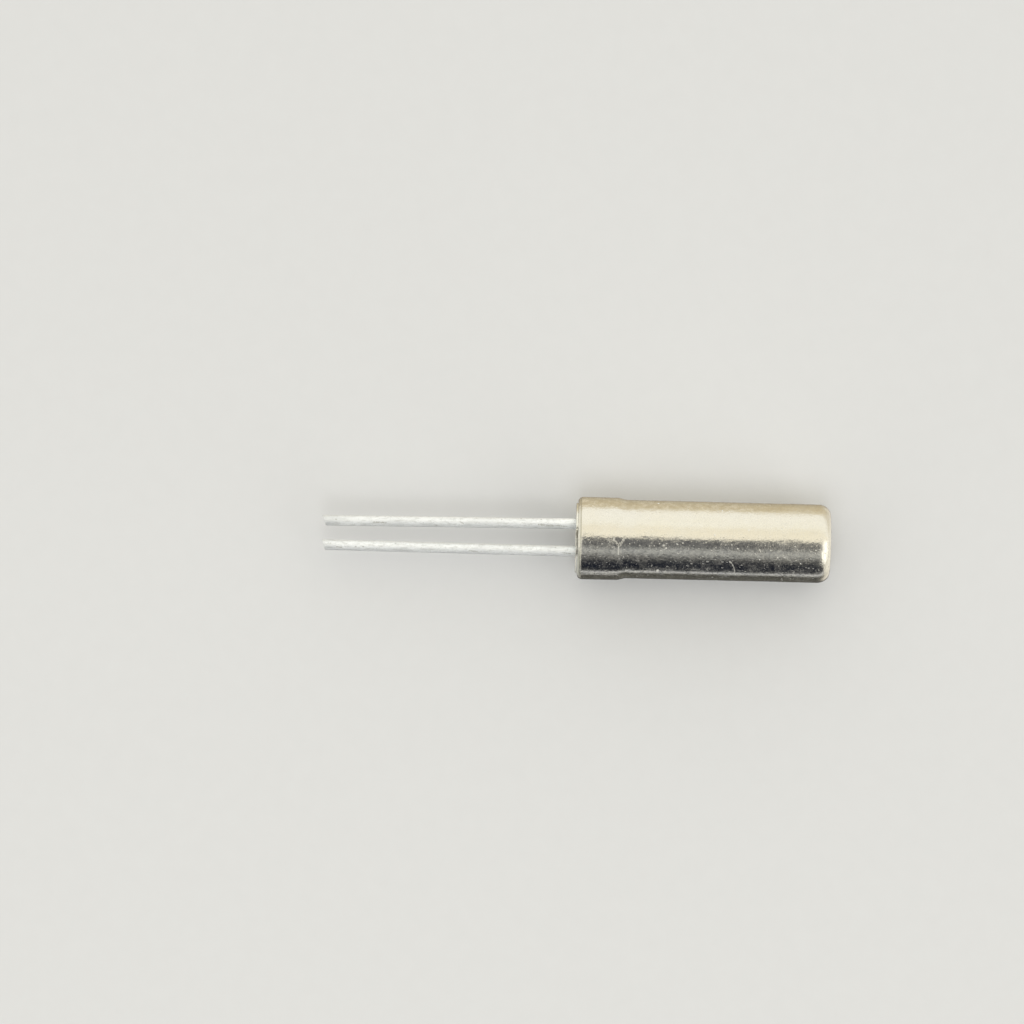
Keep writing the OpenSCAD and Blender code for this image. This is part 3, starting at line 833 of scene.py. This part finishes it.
# ---------------------------------------------------------------- light
world = bpy.data.worlds.new("studio")
bpy.context.scene.world = world
world.use_nodes = True
wt = world.node_tree
wt.nodes.clear()
w_out = wt.nodes.new("ShaderNodeOutputWorld")
back = wt.nodes.new("ShaderNodeBackground")
wt.links.new(back.outputs[0], w_out.inputs[0])


def w_put(socket, value):
    if isinstance(value, bpy.types.NodeSocket):
        wt.links.new(value, socket)
    else:
        socket.default_value = value


def w_math(op, a, b=0.0, clamp=False):
    n = wt.nodes.new("ShaderNodeMath")
    n.operation, n.use_clamp = op, clamp
    w_put(n.inputs[0], a)
    w_put(n.inputs[1], b)
    return n.outputs[0]


def w_step(value, a, b):
    n = wt.nodes.new("ShaderNodeMapRange")
    n.interpolation_type = "SMOOTHSTEP"
    w_put(n.inputs["Value"], value)
    n.inputs["From Min"].default_value = a
    n.inputs["From Max"].default_value = b
    return n.outputs["Result"]


def w_mix(factor, a, b):
    n = wt.nodes.new("ShaderNodeMix")
    n.data_type = "RGBA"
    w_put(n.inputs["Factor"], factor)
    w_put(n.inputs["A"], a if isinstance(a, bpy.types.NodeSocket) else (*a, 1))
    w_put(n.inputs["B"], b if isinstance(b, bpy.types.NodeSocket) else (*b, 1))
    return n.outputs["Result"]


w_coord = wt.nodes.new("ShaderNodeTexCoord")
w_sep = wt.nodes.new("ShaderNodeSeparateXYZ")
wt.links.new(w_coord.outputs["Generated"], w_sep.inputs[0])
dx, dy, dz = w_sep.outputs
# psi: angle from straight up towards +Y, in degrees
psi = w_math("MULTIPLY", w_math("ARCTAN2", dy, dz), 180 / math.pi)
elev = w_math("MULTIPLY", w_math("ARCSINE", dz), 180 / math.pi)

BANDS = [  # psi in degrees, colour; past 90 degrees they stand for what lies low around the part
    (-180, (0.085, 0.084, 0.078)),
    (-118, (0.080, 0.079, 0.073)),
    (-113, (0.53, 0.54, 0.565)),
    (-107, (0.64, 0.65, 0.685)),
    (-102.5, (0.036, 0.038, 0.044)),
    (-90, (0.014, 0.017, 0.028)),
    (-80, (0.013, 0.016, 0.028)),
    (-72, (0.021, 0.024, 0.035)),
    (-64, (0.043, 0.046, 0.055)),
    (-58, (0.100, 0.101, 0.106)),
    (-52, (0.165, 0.165, 0.167)),
    (-45, (0.300, 0.305, 0.312)),
    (-38, (0.420, 0.428, 0.435)),
    (-33, (0.450, 0.460, 0.466)),
    (-28, (0.370, 0.378, 0.386)),
    (-21, (0.165, 0.168, 0.175)),
    (-14, (0.104, 0.106, 0.117)),
    (-6, (0.130, 0.132, 0.143)),
    (2.2, (0.158, 0.160, 0.168)),
    (6.4, (0.97, 0.925, 0.82)),
    (17, (0.965, 0.915, 0.80)),
    (24, (0.935, 0.89, 0.78)),
    (31, (0.915, 0.868, 0.757)),
    (39, (0.935, 0.90, 0.80)),
    (44, (0.98, 0.965, 0.90)),
    (80, (0.98, 0.965, 0.92)),
    (93, (0.97, 0.955, 0.91)),
    (100, (0.72, 0.655, 0.52)),
    (116, (0.665, 0.59, 0.45)),
    (134, (0.585, 0.52, 0.395)),
    (152, (0.43, 0.38, 0.285)),
    (180, (0.25, 0.23, 0.20)),
]
band = wt.nodes.new("ShaderNodeValToRGB")
band.color_ramp.interpolation = "LINEAR"
while len(band.color_ramp.elements) > 1:
    band.color_ramp.elements.remove(band.color_ramp.elements[-1])
for i, (deg, colour) in enumerate(BANDS):
    where = (deg + 180) / 360
    el = band.color_ramp.elements[0] if i == 0 else band.color_ramp.elements.new(where)
    el.position = where
    el.color = (*colour, 1)
wt.links.new(w_math("DIVIDE", w_math("ADD", psi, 180.0), 360.0), band.inputs[0])
sky = band.outputs[0]

# the ends: a light wall and a bright panel on the +X side, a light wall on the -X side
plus = w_step(dx, 0.32, 0.54)
not_low = w_step(dy, -0.86, -0.72)
sky = w_mix(w_math("MULTIPLY", plus, w_math("MULTIPLY", w_step(dy, 0.15, -0.05), not_low)), sky, (0.60, 0.585, 0.54))
low = w_math("MULTIPLY", w_step(elev, 2, 8), w_step(elev, 58, 48))
side = w_math("MULTIPLY", w_step(dy, -0.79, -0.65), w_step(dy, 0.15, 0.01))
sky = w_mix(w_math("MULTIPLY", w_math("MULTIPLY", low, side), w_step(dx, 0.46, 0.60)), sky, (1.5, 1.48, 1.42))
under = w_math("MAXIMUM", w_math("MULTIPLY", w_step(elev, 2, -12), w_step(dx, 0.44, 0.66)),
               w_math("MULTIPLY", w_step(elev, -34, -50), w_step(dx, 0.16, 0.36)))
below = w_mix(w_step(dx, 0.45, 0.80), (0.68, 0.645, 0.58), (0.90, 0.875, 0.81))
sky = w_mix(under, sky, w_mix(w_step(dy, 0.20, 0.40), below, (0.72, 0.68, 0.60)))
minus = w_math("MULTIPLY", w_step(dx, -0.10, -0.40), w_step(dy, -0.75, -0.55))
sky = w_mix(w_math("MULTIPLY", minus, w_step(dy, 0.15, -0.05)), sky, (0.60, 0.59, 0.55))
sky = w_mix(w_step(dx, -0.50, -0.74), sky, (0.84, 0.825, 0.76))

# what the camera sees directly is plain
path = wt.nodes.new("ShaderNodeLightPath")
sky = w_mix(path.outputs["Is Camera Ray"], sky, (0.41, 0.405, 0.39))
wt.links.new(sky, back.inputs[0])
back.inputs[1].default_value = 1.49

# a soft fill from above, for the matt surfaces only: the polished metal mirrors the studio alone
fill_data = bpy.data.lights.new("soft_fill", "AREA")
fill_data.shape = "DISK"
fill_data.size = 0.12
fill_data.energy = 0.13
fill = bpy.data.objects.new("soft_fill", fill_data)
fill.location = (0.0, -0.075, 0.225)
fill.rotation_euler = Vector((0.0, -0.075, 0.225)).to_track_quat("Z", "Y").to_euler()
fill.visible_glossy = False
bpy.context.scene.collection.objects.link(fill)

# ---------------------------------------------------------------- camera
cam_data = bpy.data.cameras.new("camera")
cam_data.sensor_width = 36.0
cam_data.lens = 293.2
cam_data.clip_start = 0.005
cam_data.clip_end = 2.0
cam = bpy.data.objects.new("camera", cam_data)
cam.location = (-1.5422 * MM, 0.5812 * MM, 200 * MM)
cam.rotation_euler = (0, 0, math.radians(1.4))
bpy.context.scene.collection.objects.link(cam)
scene = bpy.context.scene
scene.camera = cam
scene.view_settings.view_transform = "Standard"
